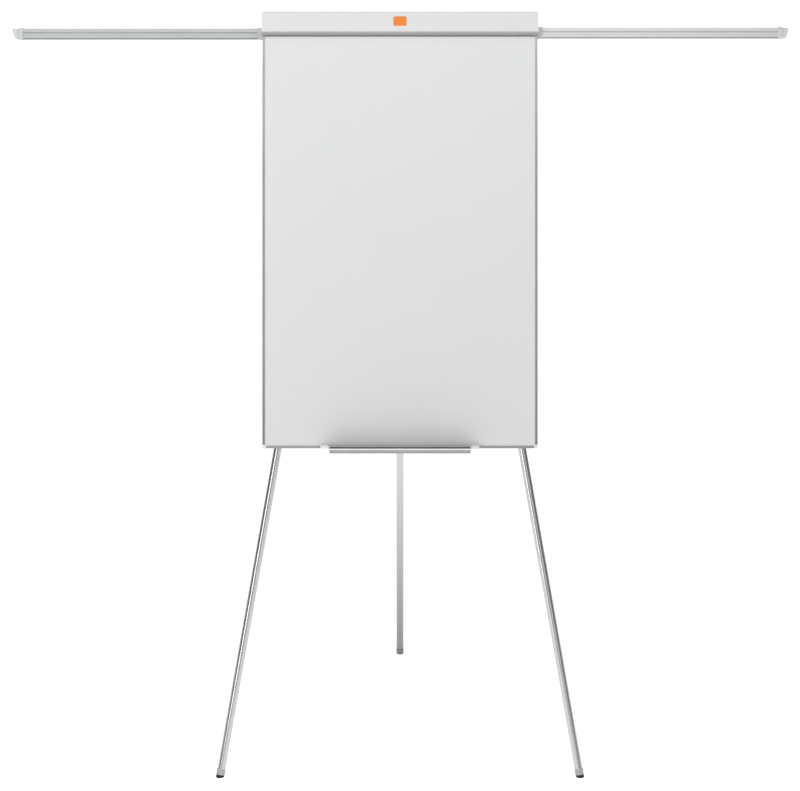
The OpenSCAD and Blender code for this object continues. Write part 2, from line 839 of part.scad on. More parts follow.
// Clamp collar: grips both tubes, split at the back by the knob's boss
module leg_collar(which) {
    color([0.20, 0.20, 0.21]) on_leg(which) difference() {
        union() {
            leg_ring(collar_top, collar_low, collar_r, 1);
            translate([0, 0, -knob_at]) rotate([-90, 0, 0])
                cylinder(r = knob_boss_r, h = knob_seat);
        }
        translate([0, 0, -tube_low]) cylinder(r = tube_r + 0.02, h = collar_h);
        translate([0, 0, -collar_low - 1]) cylinder(r = stem_r + 0.3, h = collar_h + 2);
        translate([0, 0, -knob_at]) rotate([-90, 0, 0])
            cylinder(r = knob_stud_r + run_gap, h = knob_seat + 1);
    }
}

// Clamp knob with a fluted grip and its threaded stud
module leg_knob(which) {
    flutes = 8;
    stud_in = stem_r + 0.5;
    grip_at = knob_seat + 4;
    color([0.16, 0.16, 0.17]) on_leg(which) translate([0, 0, -knob_at]) rotate([-90, 0, 0])
        difference() {
            union() {
                translate([0, 0, stud_in])
                    cylinder(r = knob_stud_r, h = grip_at - stud_in);
                translate([0, 0, knob_seat + 0.3]) cylinder(r = knob_boss_r - 0.5, h = 4);
                translate([0, 0, grip_at]) cylinder(r = knob_d / 2, h = knob_len);
                translate([0, 0, grip_at - 1]) cylinder(r = knob_d / 2 - 4, h = knob_len + 2.5);
            }
            for (i = [0 : flutes - 1]) rotate([0, 0, i * 360 / flutes])
                translate([knob_d / 2 + 1.5, 0, grip_at - 2]) cylinder(r = 4, h = knob_len + 3);
        }
}

module leg_stem(which) {
    color([0.80, 0.81, 0.82]) on_leg(which)
        leg_ring(stem_top, leg_len(which) - foot_pad_h - foot_cap_floor, stem_r,
                 stem_r - stem_wall);
}

// Glide plug on the inner tube's top, running in the outer tube
module leg_glide(which) {
    tail = 20;
    color([0.88, 0.88, 0.88]) on_leg(which) translate([0, 0, -stem_top]) union() {
        cylinder(r = tube_in_r - 0.08, h = 14);
        translate([0, 0, -tail]) cylinder(r = stem_r - stem_wall - 0.05, h = tail + eps);
    }
}

module foot_cap(which) {
    end = leg_len(which) - foot_pad_h;
    color([0.86, 0.86, 0.87]) on_leg(which) difference() {
        translate([0, 0, -end]) cylinder(r = foot_r, h = foot_cap_h);
        translate([0, 0, -end + foot_cap_floor])
            cylinder(r = stem_r + 0.02, h = foot_cap_h);
    }
}

// Rubber foot, cut level with the floor
module foot_pad(which) {
    seat = leg_len(which) - foot_pad_h;
    color([0.13, 0.13, 0.13]) difference() {
        on_leg(which) translate([0, 0, -seat - foot_pad_h - pad_tail])
            cylinder(r = pad_r, h = foot_pad_h + pad_tail);
        translate([-cut, -cut, -cut]) cube([2 * cut, 2 * cut, cut]);
    }
}

module leg_head_left() { leg_head("left"); }
module leg_tube_left() { leg_tube("left"); }
module leg_collar_left() { leg_collar("left"); }
module leg_knob_left() { leg_knob("left"); }
module leg_stem_left() { leg_stem("left"); }
module leg_glide_left() { leg_glide("left"); }
module foot_cap_left() { foot_cap("left"); }
module foot_pad_left() { foot_pad("left"); }
module leg_head_right() { leg_head("right"); }
module leg_tube_right() { leg_tube("right"); }
module leg_collar_right() { leg_collar("right"); }
module leg_knob_right() { leg_knob("right"); }
module leg_stem_right() { leg_stem("right"); }
module leg_glide_right() { leg_glide("right"); }
module foot_cap_right() { foot_cap("right"); }
module foot_pad_right() { foot_pad("right"); }
module leg_head_rear() { leg_head("rear"); }
module leg_tube_rear() { leg_tube("rear"); }
module leg_collar_rear() { leg_collar("rear"); }
module leg_knob_rear() { leg_knob("rear"); }
module leg_stem_rear() { leg_stem("rear"); }
module leg_glide_rear() { leg_glide("rear"); }
module foot_cap_rear() { foot_cap("rear"); }
module foot_pad_rear() { foot_pad("rear"); }

board_face();
board_core();
board_back();
frame_left();
frame_right();
frame_top();
frame_bottom();
frame_corners();
clamp_rail();
clamp_bar();
clamp_grip();
clamp_ends();
clamp_springs();
hinge_pins();
badge_plate();
pad_hook_left();
pad_hook_right();
arm_rail();
arm_guides();
arm_left();
arm_right();
arm_cap_left();
arm_cap_right();
arm_slider_left();
arm_slider_right();
head_bracket();
panel_screws();
pivot_spacers();
pivot_bolts();
rear_pivot_bolt();
leg_saddle_left();
leg_saddle_right();
tray_clip_left();
tray_clip_right();
pen_tray();
tray_ends();
leg_head_left();
leg_tube_left();
leg_collar_left();
leg_knob_left();
leg_stem_left();
leg_glide_left();
foot_cap_left();
foot_pad_left();
leg_head_right();
leg_tube_right();
leg_collar_right();
leg_knob_right();
leg_stem_right();
leg_glide_right();
foot_cap_right();
foot_pad_right();
leg_head_rear();
leg_tube_rear();
leg_collar_rear();
leg_knob_rear();
leg_stem_rear();
leg_glide_rear();
foot_cap_rear();
foot_pad_rear();
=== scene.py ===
"""Looks of the flipchart easel: materials, edge rounding, fine detail, floor, light and camera."""

import json
import math

import bmesh
import bpy
from mathutils import Matrix, Vector


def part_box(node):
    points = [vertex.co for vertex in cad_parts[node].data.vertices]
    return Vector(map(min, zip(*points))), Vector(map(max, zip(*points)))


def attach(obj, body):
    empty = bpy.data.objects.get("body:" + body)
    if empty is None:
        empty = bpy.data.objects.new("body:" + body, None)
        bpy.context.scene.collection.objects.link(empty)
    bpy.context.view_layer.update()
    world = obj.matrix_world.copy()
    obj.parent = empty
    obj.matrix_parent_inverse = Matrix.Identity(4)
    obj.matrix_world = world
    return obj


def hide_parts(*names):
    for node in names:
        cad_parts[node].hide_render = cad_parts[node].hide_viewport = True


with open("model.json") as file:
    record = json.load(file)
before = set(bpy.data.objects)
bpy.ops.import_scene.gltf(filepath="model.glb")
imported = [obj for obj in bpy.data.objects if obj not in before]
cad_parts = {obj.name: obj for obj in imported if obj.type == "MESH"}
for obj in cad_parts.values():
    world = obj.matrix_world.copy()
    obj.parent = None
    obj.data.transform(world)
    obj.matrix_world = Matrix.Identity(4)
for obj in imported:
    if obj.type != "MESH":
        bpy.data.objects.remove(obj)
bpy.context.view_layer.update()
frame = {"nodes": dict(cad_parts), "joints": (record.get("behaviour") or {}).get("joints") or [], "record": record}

NODES = frame["nodes"]
JOINTS = {joint["name"]: joint for joint in frame["joints"]}
SLOT_OF = {part["node"]: part["material_slot"] for part in frame["record"]["subparts"]}
BODY_OF = {
    node: body
    for body, members in frame["record"]["behaviour"]["bodies"].items()
    for node in members
}
LEGS = ("left", "right", "rear")

# ---- Directions and places, worked out from the frame ----

SIDEWAYS = Vector((1, 0, 0))
SKYWARD = Vector((0, 0, 1))
BACKWARD = Vector(JOINTS["leg_right_swing"]["axis"]).normalized()
UPWARD = SIDEWAYS.cross(BACKWARD).normalized()
LEG_AXIS = {leg: Vector(JOINTS[f"leg_{leg}_extend"]["axis"]).normalized() for leg in LEGS}


def board_box(node):
    """Lowest and highest values of a node along the board's own sideways, backward and up."""
    spots = [vertex.co for vertex in NODES[node].data.vertices]
    rows = [[spot.dot(way) for spot in spots] for way in (SIDEWAYS, BACKWARD, UPWARD)]
    return Vector([min(row) for row in rows]), Vector([max(row) for row in rows])


def board_point(x, y, z):
    """World place of a point given in the board's own directions."""
    return SIDEWAYS * x + BACKWARD * y + UPWARD * z


FACE_LOW, FACE_HIGH = board_box("board_face")
FACE_Y = FACE_LOW.y
COVER_LOW = board_box("clamp_bar")[0]
TRAY_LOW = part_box("tray_ends")[0]

# ---- Painted shade fades: direction, start, end, and the share of the colour that is left at the start ----

# The cover's sloping lip is darker than its front: painted shade on the lip
LIP_HEIGHT = 0.0085
LIP_BLUR = 0.004
LIP_TOP = COVER_LOW.z + LIP_HEIGHT
LIP_PAINTED_SHADE = (UPWARD, LIP_TOP - LIP_BLUR, LIP_TOP, 0.45)

# The board and its upright frame are darker at the bottom, and so is the rear leg: painted shade
ENAMEL_PAINTED_SHADE = (UPWARD, FACE_LOW.z, FACE_HIGH.z, 0.94)
FRAME_PAINTED_SHADE = (UPWARD, FACE_LOW.z, FACE_HIGH.z, 0.64)
REAR_SHADE_TOP = 0.6
REAR_PAINTED_SHADE = (SKYWARD, 0.0, REAR_SHADE_TOP, 0.48)

# The tray is darker below this span of height above its lowest point: painted shade on its lower face and inside
TRAY_SHADE_SPAN = (0.0082, 0.0094)
TRAY_PAINTED_SHADE = (SKYWARD, TRAY_LOW.z + TRAY_SHADE_SPAN[0], TRAY_LOW.z + TRAY_SHADE_SPAN[1], 0.46)

# ---- Materials ----

# Drawn lines on metal: noise scale across them, squeeze along them, and depths in metres
LINE_SCALE = 1040.0
LINE_STRETCH = 0.012
LINE_DEPTH = 0.00002
FINE_DEPTH = 0.000004
TUBE_DEPTH = 0.000003

# Noise scale of the uneven gloss, and the fine texture of moulded plastic
METAL_CLOUD = 7.0
PLASTIC_CLOUD = 30.0
PLASTIC_GRAIN = 1500.0
PLASTIC_DEPTH = 0.00004


def add(tree, kind, inputs=(), **settings):
    """Adds a shader node, sets its properties, then its inputs by name or number."""
    node = tree.nodes.new(kind)
    for name, value in settings.items():
        setattr(node, name, value)
    for name, value in dict(inputs).items():
        socket = node.inputs[name]
        if isinstance(value, bpy.types.NodeSocket):
            tree.links.new(value, socket)
        else:
            socket.default_value = value
    return node


def start_material(name, **sockets):
    """A material with a principled shader, whose constant sockets are set directly."""
    material = bpy.data.materials.new(name)
    material.use_nodes = True
    tree = material.node_tree
    shader = tree.nodes["Principled BSDF"]
    for socket, value in sockets.items():
        shader.inputs[socket.replace("_", " ")].default_value = value
    place = add(tree, "ShaderNodeTexCoord").outputs["Object"]
    return material, tree, shader, place


def noise(tree, place, scale, detail=3.0, roughness=0.5):
    """Fractal noise over the object's own coordinates."""
    return add(
        tree,
        "ShaderNodeTexNoise",
        {"Vector": place, "Scale": scale, "Detail": detail, "Roughness": roughness},
    ).outputs["Fac"]


def ramp(tree, value, low, high):
    """Turns 0..1 into a range, clamped."""
    spread = add(tree, "ShaderNodeMapRange", {"Value": value, "From Min": 0.3, "From Max": 0.7})
    spread.inputs["To Min"].default_value = low
    spread.inputs["To Max"].default_value = high
    return spread.outputs["Result"]


def tint(tree, value, dark, light):
    """Colour between two tones."""
    mix = add(tree, "ShaderNodeMix", data_type="RGBA")
    tree.links.new(ramp(tree, value, 0.0, 1.0), mix.inputs["Factor"])
    mix.inputs[6].default_value = (*dark, 1)
    mix.inputs[7].default_value = (*light, 1)
    return mix.outputs[2]


def bump(tree, shader, height, depth):
    """Gives the shader's normal a height pattern, in metres."""
    node = add(tree, "ShaderNodeBump", {"Height": height, "Strength": 1.0, "Distance": depth})
    tree.links.new(node.outputs["Normal"], shader.inputs["Normal"])


def along(tree, place, way, stretch):
    """Coordinates turned so that Z runs along a direction, squeezed there by stretch."""
    side = way.orthogonal().normalized()
    third = way.cross(side).normalized()
    parts = [
        add(tree, "ShaderNodeVectorMath", {0: place, 1: axis}, operation="DOT_PRODUCT")
        for axis in (side, third, way * stretch)
    ]
    joined = add(tree, "ShaderNodeCombineXYZ")
    for part, socket in zip(parts, joined.inputs):
        tree.links.new(part.outputs["Value"], socket)
    return joined.outputs["Vector"]


def paint_shade(tree, colour, place, way, start, end, share):
    """Painted shade: colour that goes from a share of itself at start to the whole of it at end."""
    spot = add(tree, "ShaderNodeVectorMath", {0: place, 1: way}, operation="DOT_PRODUCT")
    depth = add(
        tree,
        "ShaderNodeMapRange",
        {
            "Value": spot.outputs["Value"],
            "From Min": start,
            "From Max": end,
            "To Min": share,
            "To Max": 1.0,
        },
    )
    scaled = add(
        tree,
        "ShaderNodeVectorMath",
        {0: colour, "Scale": depth.outputs["Result"]},
        operation="SCALE",
    )
    return scaled.outputs[0]


def enamel():
    """White stove enamel: faint orange peel, a gloss that wiping has made uneven, and painted shade towards the
    bottom of the board.
    """
    made, tree, shader, place = start_material("white_enamel", Specular_IOR_Level=0.35)
    patches = noise(tree, place, 1.1, 2.0)
    white = tint(tree, patches, (0.708, 0.720, 0.714), (0.716, 0.728, 0.723))
    tree.links.new(paint_shade(tree, white, place, *ENAMEL_PAINTED_SHADE), shader.inputs["Base Color"])
    wiped = noise(tree, along(tree, place, SIDEWAYS, 0.25), 16.0, 3.0)
    tree.links.new(ramp(tree, wiped, 0.38, 0.43), shader.inputs["Roughness"])
    bump(tree, shader, noise(tree, place, 420.0, 2.0), 0.00002)
    return made


def header_paint():
    """Light grey powder coat with a fine, even grain, and painted shade on the cover's lip."""
    made, tree, shader, place = start_material("header_grey", Specular_IOR_Level=0.4)
    grain = noise(tree, place, 900.0, 2.0)
    cloud = noise(tree, place, 5.0, 3.0)
    grey = tint(tree, cloud, (0.694, 0.694, 0.698), (0.712, 0.712, 0.712))
    tree.links.new(paint_shade(tree, grey, place, *LIP_PAINTED_SHADE), shader.inputs["Base Color"])
    tree.links.new(ramp(tree, grain, 0.42, 0.56), shader.inputs["Roughness"])
    bump(tree, shader, grain, 0.00005)
    return made


def drawn_lines(tree, place, way, scale=LINE_SCALE):
    """Fine lines along a direction."""
    return noise(tree, along(tree, place, way, LINE_STRETCH), scale, 3.0, 0.6)


def cloudy_gloss(tree, shader, place, scale, rough):
    """Roughness that wanders a little around its middle value; returns the pattern."""
    cloud = noise(tree, place, scale, 3.0)
    tree.links.new(ramp(tree, cloud, rough * 0.85, rough * 1.15), shader.inputs["Roughness"])
    return cloud


def drawn_metal(name, way, dark, light, rough, painted_shades=(), scale=LINE_SCALE, depth=LINE_DEPTH):
    """Metal with fine lines along the direction in which it was drawn or extruded, darkened by any painted shade
    fades given.
    """
    made, tree, shader, place = start_material(name, Metallic=1.0)
    lines = drawn_lines(tree, place, way, scale)
    colour = tint(tree, lines, dark, light)
    for fade in painted_shades:
        colour = paint_shade(tree, colour, place, *fade)
    tree.links.new(colour, shader.inputs["Base Color"])
    cloudy_gloss(tree, shader, place, METAL_CLOUD, rough)
    bump(tree, shader, lines, depth)
    return made


def light_banded_metal(name, way, dark, light, rough, low, high, bands):
    """Extruded profile with painted shade and highlight as bands across its height: darker in its groove and at
    its lower edge, lighter at its top.
    """
    made, tree, shader, place = start_material(name, Metallic=1.0)
    lines = drawn_lines(tree, place, way)
    spot = add(tree, "ShaderNodeVectorMath", {0: place, 1: UPWARD}, operation="DOT_PRODUCT")
    share = add(
        tree,
        "ShaderNodeMapRange",
        {"Value": spot.outputs["Value"], "From Min": low, "From Max": high},
    )
    tones = add(tree, "ShaderNodeValToRGB", {"Fac": share.outputs["Result"]})
    stops = tones.color_ramp.elements
    for stop, (at, tone) in zip(list(stops), (bands[0], bands[-1])):
        stop.position = at
        stop.color = (tone, tone, tone, 1)
    for at, tone in bands[1:-1]:
        stops.new(at).color = (tone, tone, tone, 1)
    colour = add(
        tree,
        "ShaderNodeVectorMath",
        {0: tint(tree, lines, dark, light), 1: tones.outputs["Color"]},
        operation="MULTIPLY",
    )
    tree.links.new(colour.outputs[0], shader.inputs["Base Color"])
    cloudy_gloss(tree, shader, place, METAL_CLOUD, rough)
    bump(tree, shader, lines, FINE_DEPTH)
    return made


def moulded(name, dark, light, rough, specular=0.5):
    """Moulded plastic with a fine spark-eroded texture and slightly uneven gloss."""
    made, tree, shader, place = start_material(name, Specular_IOR_Level=specular)
    cloud = cloudy_gloss(tree, shader, place, PLASTIC_CLOUD, rough)
    tree.links.new(tint(tree, cloud, dark, light), shader.inputs["Base Color"])
    bump(tree, shader, noise(tree, place, PLASTIC_GRAIN, 2.0), PLASTIC_DEPTH)
    return made


def rubber():
    """Black rubber with a dusty, worn surface."""
    made, tree, shader, place = start_material("black_rubber", Specular_IOR_Level=0.35)
    dust = noise(tree, place, 120.0, 5.0, 0.65)
    tree.links.new(
        tint(tree, dust, (0.012, 0.012, 0.013), (0.045, 0.044, 0.042)), shader.inputs["Base Color"]
    )
    tree.links.new(ramp(tree, dust, 0.62, 0.85), shader.inputs["Roughness"])
    bump(tree, shader, noise(tree, place, 900.0, 3.0), 0.00012)
    return made


def board_fibre():
    """Grey-brown board with visible fibres and cell edges."""
    made, tree, shader, place = start_material("core_board", Specular_IOR_Level=0.2)
    fibres = noise(tree, along(tree, place, UPWARD, 0.08), 900.0, 4.0, 0.7)
    tree.links.new(
        tint(tree, fibres, (0.36, 0.27, 0.17), (0.62, 0.52, 0.38)), shader.inputs["Base Color"]
    )
    tree.links.new(ramp(tree, fibres, 0.8, 0.95), shader.inputs["Roughness"])
    bump(tree, shader, fibres, 0.0003)
    return made


def powder_coat(name, dark, light, rough):
    """Textured powder coat on steel."""
    made, tree, shader, place = start_material(name, Specular_IOR_Level=0.5)
    grain = noise(tree, place, 1400.0, 3.0, 0.6)
    cloud = noise(tree, place, 9.0, 3.0)
    tree.links.new(tint(tree, cloud, dark, light), shader.inputs["Base Color"])
    tree.links.new(ramp(tree, grain, rough * 0.85, rough * 1.2), shader.inputs["Roughness"])
    bump(tree, shader, grain, 0.0001)
    return made


# Darkest and lightest colour of each metal
ALUMINIUM = ((0.605, 0.615, 0.62), (0.65, 0.66, 0.665))
# Painted shade: darker copy of the aluminium for the left arm
SHADED_ALUMINIUM = ((0.45, 0.465, 0.47), (0.49, 0.505, 0.51))
# Painted reflection: darker copy of the aluminium for the upright frame, which also gets painted shade towards the
# bottom
RIM_REFLECTION_ALUMINIUM = ((0.45, 0.46, 0.465), (0.54, 0.55, 0.555))
# Painted shade: darker copy of the aluminium for the level frame pieces
LEVEL_SHADE_ALUMINIUM = ((0.38, 0.39, 0.395), (0.46, 0.47, 0.475))
TRAY_ALUMINIUM = ((0.70, 0.71, 0.72), (0.76, 0.77, 0.78))
STEEL = ((0.50, 0.51, 0.515), (0.54, 0.55, 0.55))
# Painted light and shade: lighter copy of the steel for the rear leg, darkened towards the floor by painted shade
REAR_LIT_STEEL = ((0.545, 0.555, 0.555), (0.585, 0.595, 0.595))
ZINC = ((0.42, 0.43, 0.45), (0.60, 0.61, 0.62))
ALUMINIUM_ROUGHNESS = 0.36
TUBE_ROUGHNESS = 0.2

FINISHES = {
    "white_enamel": enamel(),
    "core_board": board_fibre(),
    "back_sheet": powder_coat("back_sheet", (0.42, 0.43, 0.44), (0.46, 0.47, 0.48), 0.45),
    "anodised_aluminium": drawn_metal(
        "anodised_sideways", SIDEWAYS, *ALUMINIUM, ALUMINIUM_ROUGHNESS
    ),
    "header_grey": header_paint(),
    "light_plastic": moulded("light_plastic", (0.70, 0.705, 0.70), (0.745, 0.745, 0.74), 0.38),
    "badge_orange": moulded(
        "badge_orange", (0.79, 0.22, 0.037), (0.84, 0.25, 0.05), 0.4, specular=0.2
    ),
    "dark_plastic": moulded("dark_plastic", (0.018, 0.018, 0.02), (0.03, 0.03, 0.033), 0.48),
    "black_steel": powder_coat("black_steel", (0.03, 0.032, 0.036), (0.045, 0.047, 0.05), 0.42),
    "zinc_steel": drawn_metal("zinc_steel", SIDEWAYS, *ZINC, 0.34, scale=360.0),
    "black_rubber": rubber(),
}

# Nodes whose finish differs from their slot's
SPECIAL = {
    "frame_left": drawn_metal(
        "frame_upright", UPWARD, *RIM_REFLECTION_ALUMINIUM, ALUMINIUM_ROUGHNESS, [FRAME_PAINTED_SHADE]
    ),
    "frame_bottom": drawn_metal("frame_level", SIDEWAYS, *LEVEL_SHADE_ALUMINIUM, ALUMINIUM_ROUGHNESS),
    "pen_tray": drawn_metal(
        "tray_metal", SIDEWAYS, *TRAY_ALUMINIUM, ALUMINIUM_ROUGHNESS, [TRAY_PAINTED_SHADE]
    ),
}

# Share of the arm's height, and the tone there: painted shade at the lower edge, a faint dip, painted shade in the
# groove, a painted highlight at the top
ARM_LOW, ARM_HIGH = board_box("arm_right")
ARM_LIGHT_BANDS = (
    (0.0, 0.62),
    (0.08, 0.62),
    (0.13, 1.0),
    (0.32, 1.0),
    (0.36, 0.93),
    (0.5, 1.0),
    (0.55, 0.76),
    (0.63, 0.76),
    (0.67, 1.03),
    (0.92, 1.03),
    (1.0, 1.08),
)
# The left arm takes the darker copy of the aluminium as painted shade
for side in ("left", "right"):
    SPECIAL[f"arm_{side}"] = light_banded_metal(
        f"arm_metal_{side}",
        SIDEWAYS,
        *(ALUMINIUM if side == "right" else SHADED_ALUMINIUM),
        0.4,
        ARM_LOW.z,
        ARM_HIGH.z,
        ARM_LIGHT_BANDS,
    )
    SPECIAL[f"arm_cap_{side}"] = moulded(
        f"cap_plastic_{side}", (0.60, 0.605, 0.605), (0.65, 0.65, 0.65), 0.38
    )
SPECIAL["arm_guides"] = moulded("guide_plastic", (0.54, 0.55, 0.555), (0.58, 0.59, 0.595), 0.4)
# Grey of each foot cap; the rear one is darker as painted shade
FOOT_GREY_AND_SHADE = {"left": 0.38, "right": 0.38, "rear": 0.2}
for leg in LEGS:
    SPECIAL[f"foot_cap_{leg}"] = moulded(
        f"foot_plastic_{leg}", (FOOT_GREY_AND_SHADE[leg],) * 3, (FOOT_GREY_AND_SHADE[leg] * 1.15,) * 3, 0.4
    )
SPECIAL["frame_right"] = SPECIAL["frame_left"]
SPECIAL["frame_top"] = SPECIAL["frame_bottom"]
for leg in LEGS:
    tube_metal = drawn_metal(
        f"silver_tube_{leg}",
        LEG_AXIS[leg],
        *(REAR_LIT_STEEL if leg == "rear" else STEEL),
        TUBE_ROUGHNESS,
        [REAR_PAINTED_SHADE] if leg == "rear" else [],
        depth=TUBE_DEPTH,
    )
    SPECIAL[f"leg_tube_{leg}"] = tube_metal
    SPECIAL[f"leg_stem_{leg}"] = tube_metal


def finish_of(node):
    """Material of a node: its own if it has one, else its slot's."""
    return SPECIAL.get(node) or FINISHES[SLOT_OF[node]]


# ---- Rounded edges on the frame's nodes ----

EDGE_RADIUS = {
    "white_enamel": 0.0002,
    "anodised_aluminium": 0.0004,
    "header_grey": 0.0008,
    "light_plastic": 0.0008,
    "badge_orange": 0.0003,
    "dark_plastic": 0.0007,
    "black_steel": 0.0007,
    "zinc_steel": 0.0003,
    "silver_tube": 0.0003,
    "black_rubber": 0.0008,
}
SHARP = math.radians(32)


def round_edges(piece, radius):
    """Rounds the sharp edges, so that they catch the light."""
    rounding = piece.modifiers.new("edges", "BEVEL")
    rounding.width = radius
    rounding.segments = 2
    rounding.limit_method = "ANGLE"
    rounding.angle_limit = SHARP


for name, piece in NODES.items():
    piece.data.materials.clear()
    piece.data.materials.append(finish_of(name))
    radius = EDGE_RADIUS.get(SLOT_OF[name])
    if radius and name != "clamp_springs":
        round_edges(piece, radius)

# ---- Finer pieces that stand for CAD nodes ----


def skin(rings):
    """Faces through a row of equal rings, numbered in order, with both ends closed."""
    count = len(rings[0])
    faces = []
    for row in range(len(rings) - 1):
        for step in range(count):
            after = (step + 1) % count
            low, high = row * count, (row + 1) * count
            faces.append((low + step, low + after, high + after, high + step))
    last = (len(rings) - 1) * count
    faces.append(tuple(range(count))[::-1])
    faces.append(tuple(range(last, last + count)))
    return faces


def make_piece(name, shapes, node, material):
    """A piece made of closed shapes, which rides and is finished as the node it stands for."""
    points = []
    faces = []
    for rings in shapes:
        start = len(points)
        points += [point for ring in rings for point in ring]
        faces += [tuple(start + corner for corner in face) for face in skin(rings)]
    mesh = bpy.data.meshes.new(name)
    mesh.from_pydata(points, [], faces)
    shell = bmesh.new()
    shell.from_mesh(mesh)
    bmesh.ops.recalc_face_normals(shell, faces=shell.faces)
    shell.to_mesh(mesh)
    shell.free()
    mesh.shade_smooth()
    mesh.set_sharp_from_angle(angle=SHARP)
    mesh.materials.append(material)
    piece = bpy.data.objects.new(name, mesh)
    bpy.context.scene.collection.objects.link(piece)
    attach(piece, BODY_OF[node])
    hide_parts(node)
    return piece


CORNER_STEPS = 4


def rounded_ring(x, y_low, y_high, z_low, z_high, radius):
    """Rounded rectangle across the board's sideways direction."""
    ring = []
    middles = [
        (y_high - radius, z_high - radius),
        (y_low + radius, z_high - radius),
        (y_low + radius, z_low + radius),
        (y_high - radius, z_low + radius),
    ]
    for quarter, (y, z) in enumerate(middles):
        for step in range(CORNER_STEPS + 1):
            turn = math.pi / 2 * (quarter + step / CORNER_STEPS)
            ring.append(board_point(x, y + radius * math.cos(turn), z + radius * math.sin(turn)))
    return ring


CAP_CORNER = 0.0026
CAP_FLANGE = 0.0105
CAP_COLLAR = 0.0065
COLLAR_INSET = 0.0024
RIB_DEPTH = 0.0008
RIB_COUNT = 2
GRIP_INSET = 0.0004
GRIP_ROUNDING = 0.0010
GRIP_STRAIGHT = 0.4
GRIP_STEPS = 8
GRIP_NOSE = 0.007

# Distance out and inset of the flange's rings, with a groove near the arm
FLANGE_ROWS = (
    (0.0, 0.0016),
    (0.0006, 0.0006),
    (0.0018, 0.0003),
    (0.0020, 0.0010),
    (0.0028, 0.0010),
    (0.0030, 0.0001),
    (CAP_FLANGE - 0.0020, 0.0),
    (CAP_FLANGE - 0.0006, 0.0006),
    (CAP_FLANGE, 0.0018),
)

# Distance out as a share of the ribs' pitch, and inset: a groove, then a rib
RIB_ROWS = (
    (0.1, COLLAR_INSET + RIB_DEPTH),
    (0.3, COLLAR_INSET + RIB_DEPTH),
    (0.4, COLLAR_INSET),
    (0.95, COLLAR_INSET),
)


def cap_profile(reach):
    """Distance out, inset and rise of the lower edge, for each ring of an arm's end cap."""
    rows = [(at, inset, 0.0) for at, inset in FLANGE_ROWS]
    pitch = CAP_COLLAR / RIB_COUNT
    for rib in range(RIB_COUNT):
        start = CAP_FLANGE + rib * pitch
        rows += [(start + pitch * share, inset, 0.0) for share, inset in RIB_ROWS]
    start = CAP_FLANGE + CAP_COLLAR
    for step in range(GRIP_STEPS + 1):
        share = step / GRIP_STEPS
        inset = COLLAR_INSET + GRIP_INSET + (GRIP_ROUNDING if share == 1 else 0.0)
        rise = max(0.0, share - GRIP_STRAIGHT) / (1 - GRIP_STRAIGHT)
        rows.append((start + (reach - start) * share, inset, rise))
    return rows


def make_arm_cap(side):
    """End cap: a rounded flange, a ribbed collar and a finger grip wider at the top."""
    sign = 1 if side == "right" else -1
    cap_low, cap_high = board_box(f"arm_cap_{side}")
    arm_low, arm_high = board_box(f"arm_{side}")
    start = arm_high.x if sign > 0 else -arm_low.x
    reach = (cap_high.x if sign > 0 else -cap_low.x) - start
    rings = []
    for at, inset, rise in cap_profile(reach):
        z_low = cap_low.z + inset
        z_high = cap_high.z - inset
        rings.append(
            rounded_ring(
                sign * (start + at),
                cap_low.y + inset,
                cap_high.y - inset,
                z_low + (z_high - z_low - GRIP_NOSE) * rise,
                z_high,
                CAP_CORNER,
            )
        )
    make_piece(f"cap_{side}", [rings], f"arm_cap_{side}", SPECIAL[f"arm_cap_{side}"])


def tube_rings(path, radius, sides):
    """Rings of a thin rod along a path of points."""
    rings = []
    for index, point in enumerate(path):
        ahead = path[min(index + 1, len(path) - 1)] - path[max(index - 1, 0)]
        out = SIDEWAYS.cross(ahead).normalized()
        over = ahead.cross(out).normalized()
        turns = [2 * math.pi * step / sides for step in range(sides)]
        rings.append(
            [point + out * radius * math.cos(t) + over * radius * math.sin(t) for t in turns]
        )
    return rings


WIRE_RADIUS = 0.0004
WIRE_SIDES = 6
SPRING_HALF = 0.0046
COIL_TURNS = 7.5
COIL_STEPS = 18


def make_springs():
    """Two wound torsion springs on the clamp's hinge."""
    low, high = board_box("clamp_springs")
    middle = (low + high) / 2
    radius = (high.z - low.z) / 2 - WIRE_RADIUS
    count = int(COIL_TURNS * COIL_STEPS)
    shapes = []
    for sign in (-1, 1):
        centre = sign * (high.x - SPRING_HALF)
        path = []
        for step in range(count + 1):
            share = step / count
            turn = 2 * math.pi * COIL_TURNS * share
            x = centre + (2 * share - 1) * (SPRING_HALF - WIRE_RADIUS)
            path.append(
                board_point(
                    x, middle.y + radius * math.cos(turn), middle.z + radius * math.sin(turn)
                )
            )
        shapes.append(tube_rings(path, WIRE_RADIUS, WIRE_SIDES))
    make_piece("torsion_springs", shapes, "clamp_springs", FINISHES["zinc_steel"])


FOOT_SIDES = 40
FOOT_RADIUS = 0.0102
FOOT_GROOVE = 0.0005
FOOT_RINGS = (0.0, 0.12, 0.2, 0.3, 0.42, 0.5, 0.62, 0.7, 0.78, 0.86, 1.0)
NARROW_RINGS = (0, 3, 4, 7)
# A point below this height counts as standing on the floor
ON_FLOOR = 0.00001


